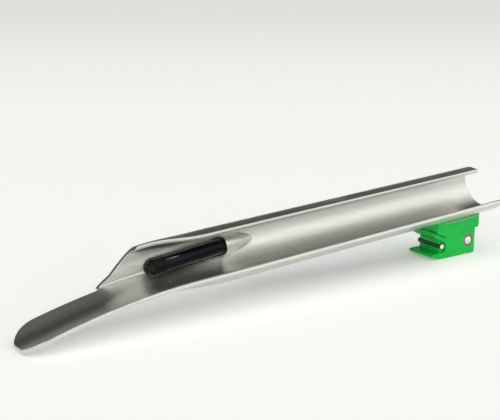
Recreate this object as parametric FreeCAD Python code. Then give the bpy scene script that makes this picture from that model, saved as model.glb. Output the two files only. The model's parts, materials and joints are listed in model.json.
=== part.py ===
"""Straight-bladed laryngoscope blade: a pressed steel trough that ends in a beak, a green
moulded hook-on heel with two sprung detent balls, and a black-sheathed fibre light guide.

Frame: the origin is on the handle's hinge-pin line, where that pin seats in the hook slot.
+Z is up when the blade lies on a table on its heel and beak, the beak points towards -X and
the trough is open towards -Y. Left and right are as seen from the heel, looking at the beak."""
import FreeCAD, Part
import math
import os
from FreeCAD import Rotation, Vector

os.makedirs("parts", exist_ok=True)

# ---------------------------------------------------------------- driving dimensions, mm
# steel blade
BLADE_LENGTH = 193.6          # along the trough, from its square end to the beak's tip
SHEET = 1.4                   # blade sheet thickness
EDGE_CROWN = 0.25             # how far the sheet's edges are rounded over
TROUGH_SLOPE = 3.5            # degrees that the trough rises from the table towards the heel
TROUGH_REACH = 25.9           # the trough's square end behind the hinge-pin line
LIP_HEIGHT = 16.6             # lower lip above the hinge-pin line
TROUGH_CENTRE_Y = -4.5        # centre line of the round floor and web
TROUGH_RADIUS = 10.4          # inside radius of the floor and web
TROUGH_DEPTH = 4.45           # floor below the lower lip
LIP_FLAT = 2.87               # flat stretch between the round floor and the lower lip
FLANGE_RADIUS = 2.6           # inside bend where the web turns into the top flange
FLANGE_TURN = 95.0            # degrees that the flange bend turns through
FLANGE_LIP = 3.8              # flat part of the flange past its bend

# beak, and the oblique cut of the web; lengths are measured back from the beak's tip
BEAK_LENGTH = 59.6            # the trough curves over this length
BEAK_RADIUS = 235.0           # the curve's radius
BEAK_FAR_INSET = 2.95         # the beak's far edge, in from the web's inside face
FLATTEN_FROM_TIP = 71.6       # the floor starts to rise towards the flat beak
FLATTEN_LENGTH = 35.0
FLATTEN_SHARE = 0.65          # share of the trough's depth that is gone on the beak
FLATTEN_TOP = 2.0             # height on the web up to which the floor's rise is felt
NARROW_FROM_TIP = 71.6        # the web starts to lean inwards
NARROW_LENGTH = 34.0
NARROW_SHARE = 0.26           # share of the web's distance from the centre line that is gone
NARROW_LOW = -0.5             # heights between which the lean comes in
NARROW_HIGH = 3.2
FLANGE_FADE_FROM_TIP = 68.6   # the flange's flat part starts to run out
FLANGE_FADE_LENGTH = 20.0
FLANGE_LEFT = 0.06            # share of the flat part that is left at the crest
CREST_FROM_TIP = 45.3         # the flange and web are cut away obliquely from here
NOTCH_FROM_TIP = 30.9         # to here, where the cut meets the beak's far edge
CREST_RISE = 0.7              # how far the flange rises towards the crest
CREST_RISE_LENGTH = 20.0
CREST_ABOVE_CENTRE = 4.75     # the cut's upper end above the trough's centre line
NOTCH_HEIGHT = 0.35           # its lower end above the lower lip's line
CUT_HOLLOW = 0.3              # how far the oblique cut bows inwards

# light guide
GUIDE_RADIUS = 2.5            # over the sheath
CORE_RADIUS = 1.9             # fibre bundle
GUIDE_FIT = 0.05              # clearance around the guide where it is held
INLET_X = 10.0                # light inlet behind the hinge-pin line
GUIDE_BEND = 7.0              # radius of the turn in the heel, towards the beak
GUIDE_TURN_DROP = 0.1         # room between that turn and the trough
GUIDE_END_FROM_TIP = 50.1     # the guide's far end
GUIDE_MOUTH_N = 2.8           # height of the guide's axis where it comes through the web
GUIDE_END_DROP = 0.9          # its far end is this much lower
GUIDE_END_SHIFT = 1.2         # and this much nearer to the trough's open side
GUIDE_SLIP = 0.3              # gap between the guide and the web's back
HOOD_MOUTH_FROM_TIP = 77.1    # where the guide comes out from under its hood
HOOD_LENGTH = 13.0            # the guide passes through the web over this length
HOOD_WALL = 0.9
GUIDE_ANGLES = (-49.0, -33.0, -19.0)  # degrees round the trough's back at the heel, half way, at the hood
POCKET_GAP = 0.55             # the pressed pocket is this much larger than the guide
POCKET_WALL = 0.9
OUTLET_LENGTH = 4.2           # ferrule on the guide's far end
INLET_LENGTH = 4.0            # ferrule at the heel's underside
INLET_WALL = 0.55
SEAL_SECTION = 0.5            # radius of the ring seal above the inlet ferrule

# hook-on heel, lower block
PIN_RADIUS = 1.6              # the handle's hinge pin, which isn't part of the blade
WEAR_RADIUS = 0.95            # steel wear pin that the hinge pin bears on
WEAR_RISE = 1.0               # the wear pin's centre above the hinge pin's
PIN_CHAMFER = 0.15
WEAR_GRIP = 0.6               # the wear pin sits this much deeper than half
HEEL_WIDTH = 12.6
HEEL_BACK = 20.0              # rear face behind the hinge-pin line
FLOOR_THICKNESS = 2.35        # heel underside to slot floor
JAW_REACH = 2.9               # lower jaw's tip in front of the hinge-pin line
JAW_TIP = 1.1                 # lower jaw's thickness at its tip
JAW_RAMP = 3.9                # length of the ramp under the lower jaw
RAMP_ROUND = 1.5
UPPER_JAW_REACH = 2.2
SLOT_DEPTH = 4.1              # the slot's inner end behind the hinge-pin line
SLOT_HEIGHT = 4.2             # at its inner end
SLOT_MOUTH_HEIGHT = 7.0       # at its mouth
SLOT_FLAT = 1.0               # level part of the slot's ceiling at its inner end
SLOT_CORNER = 0.3
SLOT_RELIEF = 1.1             # at each side the slot opens around the wear pin's end
RELIEF_CORNER = 1.3
GROOVE_X = 15.6               # shallow groove across the underside
GROOVE_WIDTH = 2.4
GROOVE_DEPTH = 0.5

# shoulder, the upper block
SHOULDER_PROUD = 1.2          # it stands out past the lower block on each side
SHOULDER_FRONT = 1.7          # in front of the hinge-pin line
SHOULDER_BACK = 20.6
SHOULDER_TOP = 3.0            # its top edge below the lower lip's line
SPLIT_LOW = 4.6               # the line between the blocks: its lowest point
SPLIT_LOW_X = 3.8
SPLIT_FRONT_SLOPE = 0.417     # its rise per length in front of that point
SPLIT_BACK_SLOPE = 0.125      # and behind it
SPLIT_ROUND = 2.5             # the shoulder's lowest edge is rounded off
EDGE_ROUND = 0.4

# detents
BALL_RADIUS = 1.984           # a 5/32 inch ball
BALL_X = 16.2                 # behind the hinge-pin line
BALL_Z = 1.53
BALL_PROUD = 0.9              # also its travel
BALL_PLAY = 0.04
SLEEVE_WALL = 0.5
SLEEVE_FLOOR = 0.4
SLEEVE_GAP = 0.2              # heel wall between a sleeve's floor and the rear screw
SPRING_WIRE = 0.14            # wire radius
SPRING_TURNS = 2.5
SPRING_SHARE = 0.55           # the coil's radius over the ball's
SPRING_GAP = 0.05             # free space at each end

# fixings
SCREW_RADIUS = 0.8
SCREW_HEAD_RADIUS = 1.4
SCREW_CLEARANCE = 0.1
SCREW_SINK = 0.1              # heads below the heel's underside
SCREW_SHORT = 1.6             # the screws end this far under the trough
SCREW_EDGE = 0.5              # heel wall beside the front screw's head
FRONT_SCREW_X = 6.3
DRIVE_LENGTH = 1.6            # screwdriver slot
DRIVE_WIDTH = 0.4
DRIVE_DEPTH = 0.45
BRACKET_SHEET = 1.2
BRACKET_FRONT = 1.5
BRACKET_BACK = 19.6
BRACKET_ARC = (256.0, 300.0)  # degrees round the trough
BRACKET_NOTCH_GAP = 0.5       # between the bracket and the guide
BOSS_RADIUS = 1.7
BOSS_GAP = 0.8                # between the bosses and the lower block
CLIP_SHEET = 0.6
CLIP_WIDTH = 6.0
CLIP_SHARES = {"guide_clip_front": 0.70, "guide_clip_rear": 0.23}  # places, from the heel to the hood
CLIP_REACH = 24.0             # degrees of trough that a clip covers each side of the guide

# ---------------------------------------------------------------- worked out from them
SLOPE = math.radians(TROUGH_SLOPE)
CENTRE_N = TROUGH_RADIUS - TROUGH_DEPTH
OUTER_RADIUS = TROUGH_RADIUS + SHEET
BEAK_START = BLADE_LENGTH - BEAK_LENGTH
FLATTEN_START = BLADE_LENGTH - FLATTEN_FROM_TIP
NARROW_START = BLADE_LENGTH - NARROW_FROM_TIP
FLANGE_FADE_START = BLADE_LENGTH - FLANGE_FADE_FROM_TIP
CREST = BLADE_LENGTH - CREST_FROM_TIP
NOTCH = BLADE_LENGTH - NOTCH_FROM_TIP
CREST_HEIGHT = CENTRE_N + CREST_ABOVE_CENTRE
BEAK_FAR_Y = TROUGH_CENTRE_Y + TROUGH_RADIUS - BEAK_FAR_INSET
FLOOR_START = (math.pi + math.asin(CENTRE_N / math.hypot(TROUGH_RADIUS, LIP_FLAT))
               + math.atan2(LIP_FLAT, TROUGH_RADIUS))
LIP_Y = TROUGH_CENTRE_Y + TROUGH_RADIUS * math.cos(FLOOR_START) + LIP_FLAT * math.sin(FLOOR_START)
HALF_WIDTH = HEEL_WIDTH / 2
BOTTOM = -PIN_RADIUS - FLOOR_THICKNESS
SLOT_FLOOR = -PIN_RADIUS
WEAR_X = math.sqrt((PIN_RADIUS + WEAR_RADIUS) ** 2 - WEAR_RISE ** 2)
BALL_DEPTH = BALL_RADIUS - BALL_PROUD
SLEEVE_RADIUS = BALL_RADIUS + BALL_PLAY + SLEEVE_WALL
SLEEVE_LENGTH = HALF_WIDTH - SCREW_RADIUS - SCREW_CLEARANCE - SLEEVE_GAP
SCREW_PLACES = [(FRONT_SCREW_X, SCREW_HEAD_RADIUS + SCREW_EDGE - HALF_WIDTH), (BALL_X, 0.0)]
GUIDE_END = BLADE_LENGTH - GUIDE_END_FROM_TIP
HOOD_MOUTH = BLADE_LENGTH - HOOD_MOUTH_FROM_TIP
HOOD_START = HOOD_MOUTH - HOOD_LENGTH
HEEL_STATION = TROUGH_REACH + SHOULDER_FRONT + 1.5
SHEATH_WALL = GUIDE_RADIUS - CORE_RADIUS
INLET_RADIUS = GUIDE_RADIUS + INLET_WALL
WEB_FACE = TROUGH_CENTRE_Y + math.sqrt(TROUGH_RADIUS ** 2 - (CENTRE_N - GUIDE_MOUTH_N) ** 2)
GUIDE_MOUTH_Y = WEB_FACE - GUIDE_RADIUS + POCKET_GAP
SECTIONS = 34                 # outlines that the sheet is shaped through
SPACE_SECTIONS = 10
OVERRUN = 3.0                 # how far cutting tools run past a face
REACH_ALL = 60.0              # longer than any cutting tool has to be


# ---------------------------------------------------------------- the trough's own frame
def smooth(start, end, value):
    """0 before start, 1 after end, and a smooth step between."""
    t = min(1.0, max(0.0, (value - start) / (end - start)))
    return t * t * (3 - 2 * t)


def spine(s):
    """The lower lip's point at station s from the square end, and its direction there."""
    straight = min(s, BEAK_START)
    x = TROUGH_REACH - straight * math.cos(SLOPE)
    z = LIP_HEIGHT + TROUGH_REACH * math.tan(SLOPE) - straight * math.sin(SLOPE)
    turn = SLOPE
    if s > BEAK_START:
        turn = SLOPE + (s - BEAK_START) / BEAK_RADIUS
        x -= BEAK_RADIUS * (math.sin(turn) - math.sin(SLOPE))
        z -= BEAK_RADIUS * (math.cos(SLOPE) - math.cos(turn))
    return x, z, turn


def place(s, y, n):
    """A point at station s, at width y and at height n above the lower lip's line."""
    x, z, turn = spine(s)
    return Vector(x - n * math.sin(turn), y, z + n * math.cos(turn))


def lay(shape):
    """Puts a shape modelled along the straight trough (x = -s, y, z = n) in the blade's frame."""
    x, z, turn = spine(0)
    shape.Placement = FreeCAD.Placement(Vector(x, 0, z), Rotation(Vector(0, 1, 0), -TROUGH_SLOPE))
    return shape


def slab(start, end):
    """All of the space between two stations of the straight trough."""
    box = Part.makeBox(end - start, 2 * REACH_ALL, 2 * REACH_ALL, Vector(-end, -REACH_ALL, -REACH_ALL))
    return lay(box)


def trough_rod(radius):
    """A long round bar on the centre line of the trough's floor and web."""
    bar = Part.makeCylinder(radius, BEAK_START + REACH_ALL, Vector(REACH_ALL, TROUGH_CENTRE_Y, CENTRE_N),
                            Vector(-1, 0, 0))
    return lay(bar)


# ---------------------------------------------------------------- blade section
def floor_and_web(count):
    """Inside line from the lower lip round the floor and up the web to the flange bend."""
    line = []
    for i in range(3):
        left = LIP_FLAT * (1 - i / 3)
        line.append((TROUGH_CENTRE_Y + TROUGH_RADIUS * math.cos(FLOOR_START) + left * math.sin(FLOOR_START),
                     CENTRE_N + TROUGH_RADIUS * math.sin(FLOOR_START) - left * math.cos(FLOOR_START)))
    for i in range(count):
        angle = FLOOR_START + (2 * math.pi - FLOOR_START) * i / (count - 1)
        line.append((TROUGH_CENTRE_Y + TROUGH_RADIUS * math.cos(angle),
                     CENTRE_N + TROUGH_RADIUS * math.sin(angle)))
    return line


def flange(s):
    """Inside line of the flange bend and its flat part, which runs out near the crest."""
    bend_y = TROUGH_CENTRE_Y + TROUGH_RADIUS - FLANGE_RADIUS
    turn = math.radians(FLANGE_TURN)
    line = []
    for i in range(1, 7):
        angle = turn * i / 6
        line.append((bend_y + FLANGE_RADIUS * math.cos(angle), CENTRE_N + FLANGE_RADIUS * math.sin(angle)))
    end_y, end_n = line[-1]
    fade = smooth(FLANGE_FADE_START, FLANGE_FADE_START + FLANGE_FADE_LENGTH, s)
    flat = FLANGE_LIP * (1 - fade * (1 - FLANGE_LEFT))
    for i in range(1, 3):
        line.append((end_y - flat * i / 2 * math.sin(turn), end_n + flat * i / 2 * math.cos(turn)))
    return line


def section(s):
    """The whole inside line at station s: flatter, narrower and a little higher towards the beak."""
    flatten = FLATTEN_SHARE * smooth(FLATTEN_START, FLATTEN_START + FLATTEN_LENGTH, s)
    narrow = NARROW_SHARE * smooth(NARROW_START, NARROW_START + NARROW_LENGTH, s)
    rise = CREST_RISE * smooth(CREST - CREST_RISE_LENGTH, CREST, s)
    line = []
    for y, n in floor_and_web(17) + flange(s):
        if y < TROUGH_CENTRE_Y and n < CENTRE_N:
            n *= 1 - flatten
        else:
            n += flatten * TROUGH_DEPTH * smooth(0, FLATTEN_TOP + TROUGH_DEPTH, FLATTEN_TOP - n)
            n += rise * smooth(NARROW_HIGH, CENTRE_N + FLANGE_RADIUS, n)
        if y > TROUGH_CENTRE_Y:
            y -= (y - TROUGH_CENTRE_Y) * narrow * smooth(NARROW_LOW, NARROW_HIGH, n)
        line.append((y, n))
    return line


def offset(line, distance):
    """The same line moved outwards from the trough by a distance."""
    moved = []
    for i, (y, n) in enumerate(line):
        before = line[max(i - 1, 0)]
        after = line[min(i + 1, len(line) - 1)]
        along = math.hypot(after[0] - before[0], after[1] - before[1])
        moved.append((y + distance * (after[1] - before[1]) / along,
                      n - distance * (after[0] - before[0]) / along))
    return moved


def smooth_edge(points):
    curve = Part.BSplineCurve()
    curve.interpolate(points)
    return curve.toShape()


def crowned_edge(start, end, outwards):
    """The slightly rounded end of the sheet, from one surface to the other."""
    middle = (start + end) * 0.5 + outwards * EDGE_CROWN
    return Part.Arc(start, middle, end).toShape()


def sheet_wire(s):
    """Closed outline of the sheet at station s."""
    inside = [place(s, y, n) for y, n in section(s)]
    outside = [place(s, y, n) for y, n in offset(section(s), SHEET)]
    lip_out = (inside[0] - inside[1]).normalize()
    flange_out = (inside[-1] - inside[-2]).normalize()
    return Part.Wire([smooth_edge(inside), crowned_edge(inside[-1], outside[-1], flange_out),
                      smooth_edge(outside[::-1]), crowned_edge(outside[0], inside[0], lip_out)])


def middle_wire(s):
    """Closed outline of the trough's space up to the middle of the sheet at station s."""
    middle = [place(s, y, n) for y, n in offset(section(s), SHEET / 2)]
    return Part.Wire([smooth_edge(middle), Part.makeLine(middle[-1], middle[0])])


def loft(wire, start, end, count):
    wires = [wire(start + (end - start) * i / (count - 1)) for i in range(count)]
    return Part.makeLoft(wires, True, False)


# ---------------------------------------------------------------- light guide's route
def web_back(angle):
    """Width and height of a guide that lies against the trough's outside at an angle."""
    reach = OUTER_RADIUS + GUIDE_RADIUS + GUIDE_SLIP
    return (TROUGH_CENTRE_Y + reach * math.cos(math.radians(angle)),
            CENTRE_N + reach * math.sin(math.radians(angle)))


def guide_points():
    """Route from the heel's underside to the guide's far end."""
    heel_side, half_way, hood_side = [web_back(angle) for angle in GUIDE_ANGLES]
    under = OUTER_RADIUS + GUIDE_RADIUS + GUIDE_SLIP
    turn_z = (LIP_HEIGHT + INLET_X * math.tan(SLOPE) + CENTRE_N
              - math.sqrt(under ** 2 - TROUGH_CENTRE_Y ** 2) - GUIDE_TURN_DROP)
    return [Vector(INLET_X, 0, BOTTOM),
            Vector(INLET_X, 0, turn_z),
            place(HEEL_STATION, *heel_side),
            place((HEEL_STATION + HOOD_START) / 2, *half_way),
            place(HOOD_START, *hood_side),
            place(HOOD_MOUTH, GUIDE_MOUTH_Y, GUIDE_MOUTH_N),
            place(GUIDE_END, GUIDE_MOUTH_Y - GUIDE_END_SHIFT, GUIDE_MOUTH_N - GUIDE_END_DROP)]


def rounded_route(points, first_bend):
    """Straight runs joined by tangent arcs, each as large as its runs allow."""
    edges = []
    here = points[0]
    for i in range(1, len(points) - 1):
        before = (points[i] - points[i - 1]).normalize()
        after = (points[i + 1] - points[i]).normalize()
        half_turn = before.getAngle(after) / 2
        run = min((points[i] - points[i - 1]).Length, (points[i + 1] - points[i]).Length)
        radius = 0.45 * run / math.tan(half_turn)
        if i == 1:
            radius = first_bend
        back = radius * math.tan(half_turn)
        start = points[i] - before * back
        end = points[i] + after * back
        inwards = (after - before).normalize()
        centre = points[i] + inwards * (radius / math.cos(half_turn))
        middle = centre - inwards * radius
        edges.append(Part.makeLine(here, start))
        edges.append(Part.Arc(start, middle, end).toShape())
        here = end
    edges.append(Part.makeLine(here, points[-1]))
    return Part.Wire(edges)


def tube(radius):
    """A round solid of the given radius along the guide's route."""
    ring = Part.Wire(Part.makeCircle(radius, Vector(INLET_X, 0, BOTTOM), Vector(0, 0, 1)))
    return GUIDE_ROUTE.makePipeShell([ring], True, False)


GUIDE_ROUTE = rounded_route(guide_points(), GUIDE_BEND)


# ---------------------------------------------------------------- blade
def oblique_cutter():
    """Takes away the web and flange from the crest down to the notch."""
    crest = place(CREST, TROUGH_CENTRE_Y, CREST_HEIGHT)
    notch = place(NOTCH, TROUGH_CENTRE_Y, NOTCH_HEIGHT)
    middle = (crest + notch) * 0.5 + (notch - crest).cross(Vector(0, 1, 0)).normalize() * CUT_HOLLOW
    above_crest = crest + Vector(0, 0, REACH_ALL)
    above_notch = Vector(notch.x, TROUGH_CENTRE_Y, above_crest.z)
    outline = Part.Wire([Part.Arc(crest, middle, notch).toShape(), Part.makeLine(notch, above_notch),
                         Part.makeLine(above_notch, above_crest), Part.makeLine(above_crest, crest)])
    return Part.Face(outline).extrude(Vector(0, REACH_ALL, 0))


def beak_keeper():
    """The beak's outline from above: a straight far edge and a round tip."""
    near_y = LIP_Y - 1.8 * EDGE_CROWN
    half = (BEAK_FAR_Y - near_y) / 2
    round_x = place(BLADE_LENGTH, 0, 0).x + half
    notch_x = place(NOTCH, 0, 0).x
    square = Part.makeBox(notch_x - round_x, 2 * half + SHEET, 2 * REACH_ALL,
                          Vector(round_x, near_y - SHEET, -REACH_ALL))
    round_end = Part.makeCylinder(half, 2 * REACH_ALL, Vector(round_x, near_y + half, -REACH_ALL))
    behind = Part.makeBox(BLADE_LENGTH, 2 * REACH_ALL, 2 * REACH_ALL,
                          Vector(notch_x, -REACH_ALL, -REACH_ALL))
    return square.fuse([round_end, behind])


def blade_shell():
    """The sheet with its beak, the hood that the guide comes through and the pocket that it lies in."""
    sheet = loft(sheet_wire, 0, BLADE_LENGTH, SECTIONS)
    space = loft(middle_wire, HOOD_START - OVERRUN, GUIDE_END + 2 * OVERRUN, SPACE_SECTIONS)
    tip = GUIDE_ROUTE.Edges[-1].lastVertex().Point
    hood = tube(GUIDE_RADIUS + HOOD_WALL).common(slab(HOOD_START - OVERRUN, HOOD_MOUTH))
    pocket_radius = GUIDE_RADIUS + POCKET_GAP
    pocket = tube(pocket_radius).common(slab(HOOD_MOUTH, CREST)).fuse(Part.makeSphere(pocket_radius, tip))
    back_radius = pocket_radius + POCKET_WALL
    back = tube(back_radius).common(slab(HOOD_MOUTH - OVERRUN / 2, CREST))
    back = back.fuse(Part.makeSphere(back_radius, tip)).cut(space)
    passage = tube(GUIDE_RADIUS + GUIDE_FIT).common(slab(0, HOOD_MOUTH + OVERRUN / 2))
    shell = sheet.fuse([hood, back]).cut(pocket).cut(passage)
    shell = shell.cut(oblique_cutter()).common(beak_keeper())
    return max(shell.Solids, key=lambda solid: solid.Volume)


# ---------------------------------------------------------------- heel
def profile(corners, width):
    """A block of the given width from a side outline whose corners have radii."""
    edges = []
    count = len(corners)
    ends = []
    for i, (x, z, radius) in enumerate(corners):
        here = Vector(x, 0, z)
        before = (here - Vector(corners[i - 1][0], 0, corners[i - 1][1])).normalize()
        nxt = corners[(i + 1) % count]
        after = (Vector(nxt[0], 0, nxt[1]) - here).normalize()
        half_turn = before.getAngle(after) / 2
        back = radius * math.tan(half_turn)
        start, end = here - before * back, here + after * back
        if radius > 0:
            inwards = (after - before).normalize()
            middle = here + inwards * (radius / math.cos(half_turn) - radius)
            edges.append(Part.Arc(start, middle, end).toShape())
        ends.append((start, end))
    for i in range(count):
        edges.append(Part.makeLine(ends[i][1], ends[(i + 1) % count][0]))
    outline = Part.Wire(Part.__sortEdges__(edges))
    block = Part.Face(outline).extrude(Vector(0, width, 0))
    block.translate(Vector(0, -width / 2, 0))
    return block


def round_sides(block, half_width, radius):
    """Rounds the outline's edges on both side faces."""
    rim = [edge for edge in block.Edges
           if all(abs(abs(vertex.Y) - half_width) < 1e-6 for vertex in edge.Vertexes)
           and abs(edge.CenterOfMass.y) > half_width - 1e-3]
    return block.makeFillet(radius, rim)


def upright(radius, x, y, low, high):
    return Part.makeCylinder(radius, high - low, Vector(x, y, low))


def across(radius, x, z, start, end):
    return Part.makeCylinder(radius, end - start, Vector(x, start, z), Vector(0, 1, 0))


def slot(inner_end, width, corner):
    """The hook slot, open towards the beak, with a ceiling that slopes down inwards."""
    mouth = -JAW_REACH - OVERRUN
    level_from = SLOT_DEPTH - SLOT_FLAT
    slope = (SLOT_MOUTH_HEIGHT - SLOT_HEIGHT) / (UPPER_JAW_REACH + level_from)
    ceiling = SLOT_FLOOR + SLOT_HEIGHT
    inner_top = ceiling + slope * max(0.0, level_from - inner_end)
    corners = [(mouth, SLOT_FLOOR, 0), (inner_end, SLOT_FLOOR, corner), (inner_end, inner_top, corner)]
    if inner_end > level_from:
        corners.append((level_from, ceiling, 0))
    corners.append((mouth, ceiling + slope * (level_from - mouth), 0))
    return profile(corners, width)


def split_height(x):
    """Height of the line between the two blocks."""
    if x < SPLIT_LOW_X:
        return SPLIT_LOW + SPLIT_FRONT_SLOPE * (SPLIT_LOW_X - x)
    return SPLIT_LOW + SPLIT_BACK_SLOPE * (x - SPLIT_LOW_X)


def screw_holes(radius, low, high):
    return [upright(radius, x, y, low, high) for x, y in SCREW_PLACES]


def screw_head(x, y, gap):
    """Countersunk head, just below the heel's underside."""
    depth = SCREW_HEAD_RADIUS - SCREW_RADIUS
    return Part.makeCone(SCREW_HEAD_RADIUS + gap, SCREW_RADIUS + gap, depth,
                         Vector(x, y, BOTTOM + SCREW_SINK))


def hook_outline():
    """Side outline of the lower block: jaws, underside, rear face and the split line."""
    return [(-JAW_REACH, SLOT_FLOOR - JAW_TIP, EDGE_ROUND), (-JAW_REACH + JAW_RAMP, BOTTOM, RAMP_ROUND),
            (HEEL_BACK, BOTTOM, 2 * EDGE_ROUND), (HEEL_BACK, split_height(HEEL_BACK), 0),
            (SPLIT_LOW_X, SPLIT_LOW, 0), (-UPPER_JAW_REACH, split_height(-UPPER_JAW_REACH), 0),
            (-UPPER_JAW_REACH, SLOT_FLOOR, 0), (-JAW_REACH, SLOT_FLOOR, EDGE_ROUND)]


def heel_block():
    """Lower block: hook, detent bores and light inlet."""
    block = round_sides(profile(hook_outline(), HEEL_WIDTH), HALF_WIDTH, EDGE_ROUND)
    tools = [slot(WEAR_X - WEAR_GRIP, HEEL_WIDTH + OVERRUN, SLOT_CORNER),
             across(WEAR_RADIUS, WEAR_X, WEAR_RISE, -HALF_WIDTH, HALF_WIDTH),
             upright(INLET_RADIUS, INLET_X, 0, BOTTOM - OVERRUN, BOTTOM + INLET_LENGTH),
             tube(GUIDE_RADIUS + GUIDE_FIT), seal_space(),
             Part.makeBox(GROOVE_WIDTH, HEEL_WIDTH + 2 * OVERRUN, GROOVE_DEPTH + OVERRUN,
                          Vector(GROOVE_X - GROOVE_WIDTH / 2, -HALF_WIDTH - OVERRUN, BOTTOM - OVERRUN))]
    for side in (-1, 1):
        relief = slot(SLOT_DEPTH, SLOT_RELIEF, RELIEF_CORNER)
        relief.translate(Vector(0, side * (HALF_WIDTH - SLOT_RELIEF / 2), 0))
        start = min(side * HALF_WIDTH, side * (HALF_WIDTH - SLEEVE_LENGTH))
        tools += [relief, across(SLEEVE_RADIUS, BALL_X, BALL_Z, start, start + SLEEVE_LENGTH)]
    for x, y in SCREW_PLACES:
        head_low = BOTTOM + SCREW_SINK
        tools += [upright(SCREW_RADIUS + SCREW_CLEARANCE, x, y, BOTTOM, split_height(x) + OVERRUN),
                  screw_head(x, y, SCREW_CLEARANCE),
                  upright(SCREW_HEAD_RADIUS + SCREW_CLEARANCE, x, y, BOTTOM - OVERRUN, head_low)]
    for tool in tools:
        block = block.cut(tool)
    return block


def seal_space():
    """Counterbore above the inlet ferrule that holds the ring seal."""
    low = BOTTOM + INLET_LENGTH
    return upright(GUIDE_RADIUS + 2 * SEAL_SECTION, INLET_X, 0, low, low + 2 * SEAL_SECTION)


def heel_shoulder():
    """Upper block: saddle under the trough, a little wider than the lower block."""
    top_front = place(TROUGH_REACH + SHOULDER_FRONT, 0, -SHOULDER_TOP)
    top_back = place(TROUGH_REACH - SHOULDER_BACK, 0, -SHOULDER_TOP)
    corners = [(-SHOULDER_FRONT, split_height(-SHOULDER_FRONT), 2 * EDGE_ROUND),
               (SPLIT_LOW_X, SPLIT_LOW, SPLIT_ROUND),
               (SHOULDER_BACK, split_height(SHOULDER_BACK), 1.5 * EDGE_ROUND),
               (SHOULDER_BACK, top_back.z, 0), (-SHOULDER_FRONT, top_front.z, 0)]
    width = HEEL_WIDTH + 2 * SHOULDER_PROUD
    block = round_sides(profile(corners, width), width / 2, EDGE_ROUND)
    block = block.cut(trough_rod(OUTER_RADIUS)).cut(heel_bracket(False))
    block = block.cut(tube(GUIDE_RADIUS + GUIDE_FIT))
    for hole in screw_holes(SCREW_RADIUS + SCREW_CLEARANCE, BOTTOM, LIP_HEIGHT):
        block = block.cut(hole)
    return max(block.Solids, key=lambda solid: solid.Volume)


def arc_plate(inner, thickness, start, end, low, high):
    """Curved plate that hugs the trough's outside between two angles and two stations."""
    centre = Vector(-start, TROUGH_CENTRE_Y, CENTRE_N)
    along = Vector(-1, 0, 0)
    ring = Part.makeCylinder(inner + thickness, end - start, centre, along)
    ring = ring.cut(Part.makeCylinder(inner, end - start, centre, along))
    points = [centre]
    for i in range(5):
        angle = math.radians(low + (high - low) * i / 4)
        points.append(centre + Vector(0, math.cos(angle), math.sin(angle)) * (2 * inner))
    wedge = Part.Face(Part.makePolygon(points + [centre])).extrude(along * (end - start))
    return lay(ring.common(wedge))


def heel_bracket(tapped=True):
    """Steel saddle plate welded under the trough, with a tapped boss for each heel screw."""
    start, end = TROUGH_REACH - BRACKET_BACK, TROUGH_REACH - BRACKET_FRONT
    plate = arc_plate(OUTER_RADIUS, BRACKET_SHEET, start, end, *BRACKET_ARC)
    beside = GUIDE_RADIUS + BRACKET_NOTCH_GAP
    notch = Part.makeBox(REACH_ALL, REACH_ALL, REACH_ALL,
                         Vector(INLET_X + beside - REACH_ALL, -beside, BOTTOM))
    plate = plate.cut(notch)
    bosses = screw_holes(BOSS_RADIUS, split_height(BALL_X) + BOSS_GAP, LIP_HEIGHT)
    plate = plate.fuse(bosses).cut(trough_rod(OUTER_RADIUS))
    if tapped:
        for hole in screw_holes(SCREW_RADIUS, BOTTOM, screw_top()):
            plate = plate.cut(hole)
    return max(plate.Solids, key=lambda solid: solid.Volume)


def screw_top():
    """Height that both screws reach, a little under the trough."""
    return LIP_HEIGHT + CENTRE_N - OUTER_RADIUS - SCREW_SHORT


def heel_screws():
    """Two countersunk screws up through the block and shoulder into the bracket's bosses."""
    screws = []
    for x, y in SCREW_PLACES:
        shank = upright(SCREW_RADIUS, x, y, BOTTOM + SCREW_SINK, screw_top())
        drive = Part.makeBox(DRIVE_LENGTH, DRIVE_WIDTH, DRIVE_DEPTH,
                             Vector(x - DRIVE_LENGTH / 2, y - DRIVE_WIDTH / 2, BOTTOM))
        screws.append(shank.fuse(screw_head(x, y, 0)).cut(drive))
    return Part.makeCompound(screws)


def wear_pin():
    """Steel pin across the slot's inner end, flush with the heel's cheeks."""
    pin = across(WEAR_RADIUS, WEAR_X, WEAR_RISE, -HALF_WIDTH, HALF_WIDTH)
    return pin.makeChamfer(PIN_CHAMFER, [edge for edge in pin.Edges if edge.Closed])


# ---------------------------------------------------------------- detents
def detent_sleeve(side):
    """Pressed-in steel cup whose staked mouth keeps the ball in."""
    face = side * HALF_WIDTH
    floor = side * (HALF_WIDTH - SLEEVE_LENGTH)
    ball_y = side * (HALF_WIDTH - BALL_DEPTH)
    cup = across(SLEEVE_RADIUS, BALL_X, BALL_Z, min(face, floor), max(face, floor))
    bore_end = floor + side * SLEEVE_FLOOR
    bore = across(BALL_RADIUS + BALL_PLAY, BALL_X, BALL_Z, min(ball_y, bore_end), max(ball_y, bore_end))
    return cup.cut(bore).cut(Part.makeSphere(BALL_RADIUS + BALL_PLAY, Vector(BALL_X, ball_y, BALL_Z)))


def detent_ball(side):
    return Part.makeSphere(BALL_RADIUS, Vector(BALL_X, side * (HALF_WIDTH - BALL_DEPTH), BALL_Z))


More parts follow.
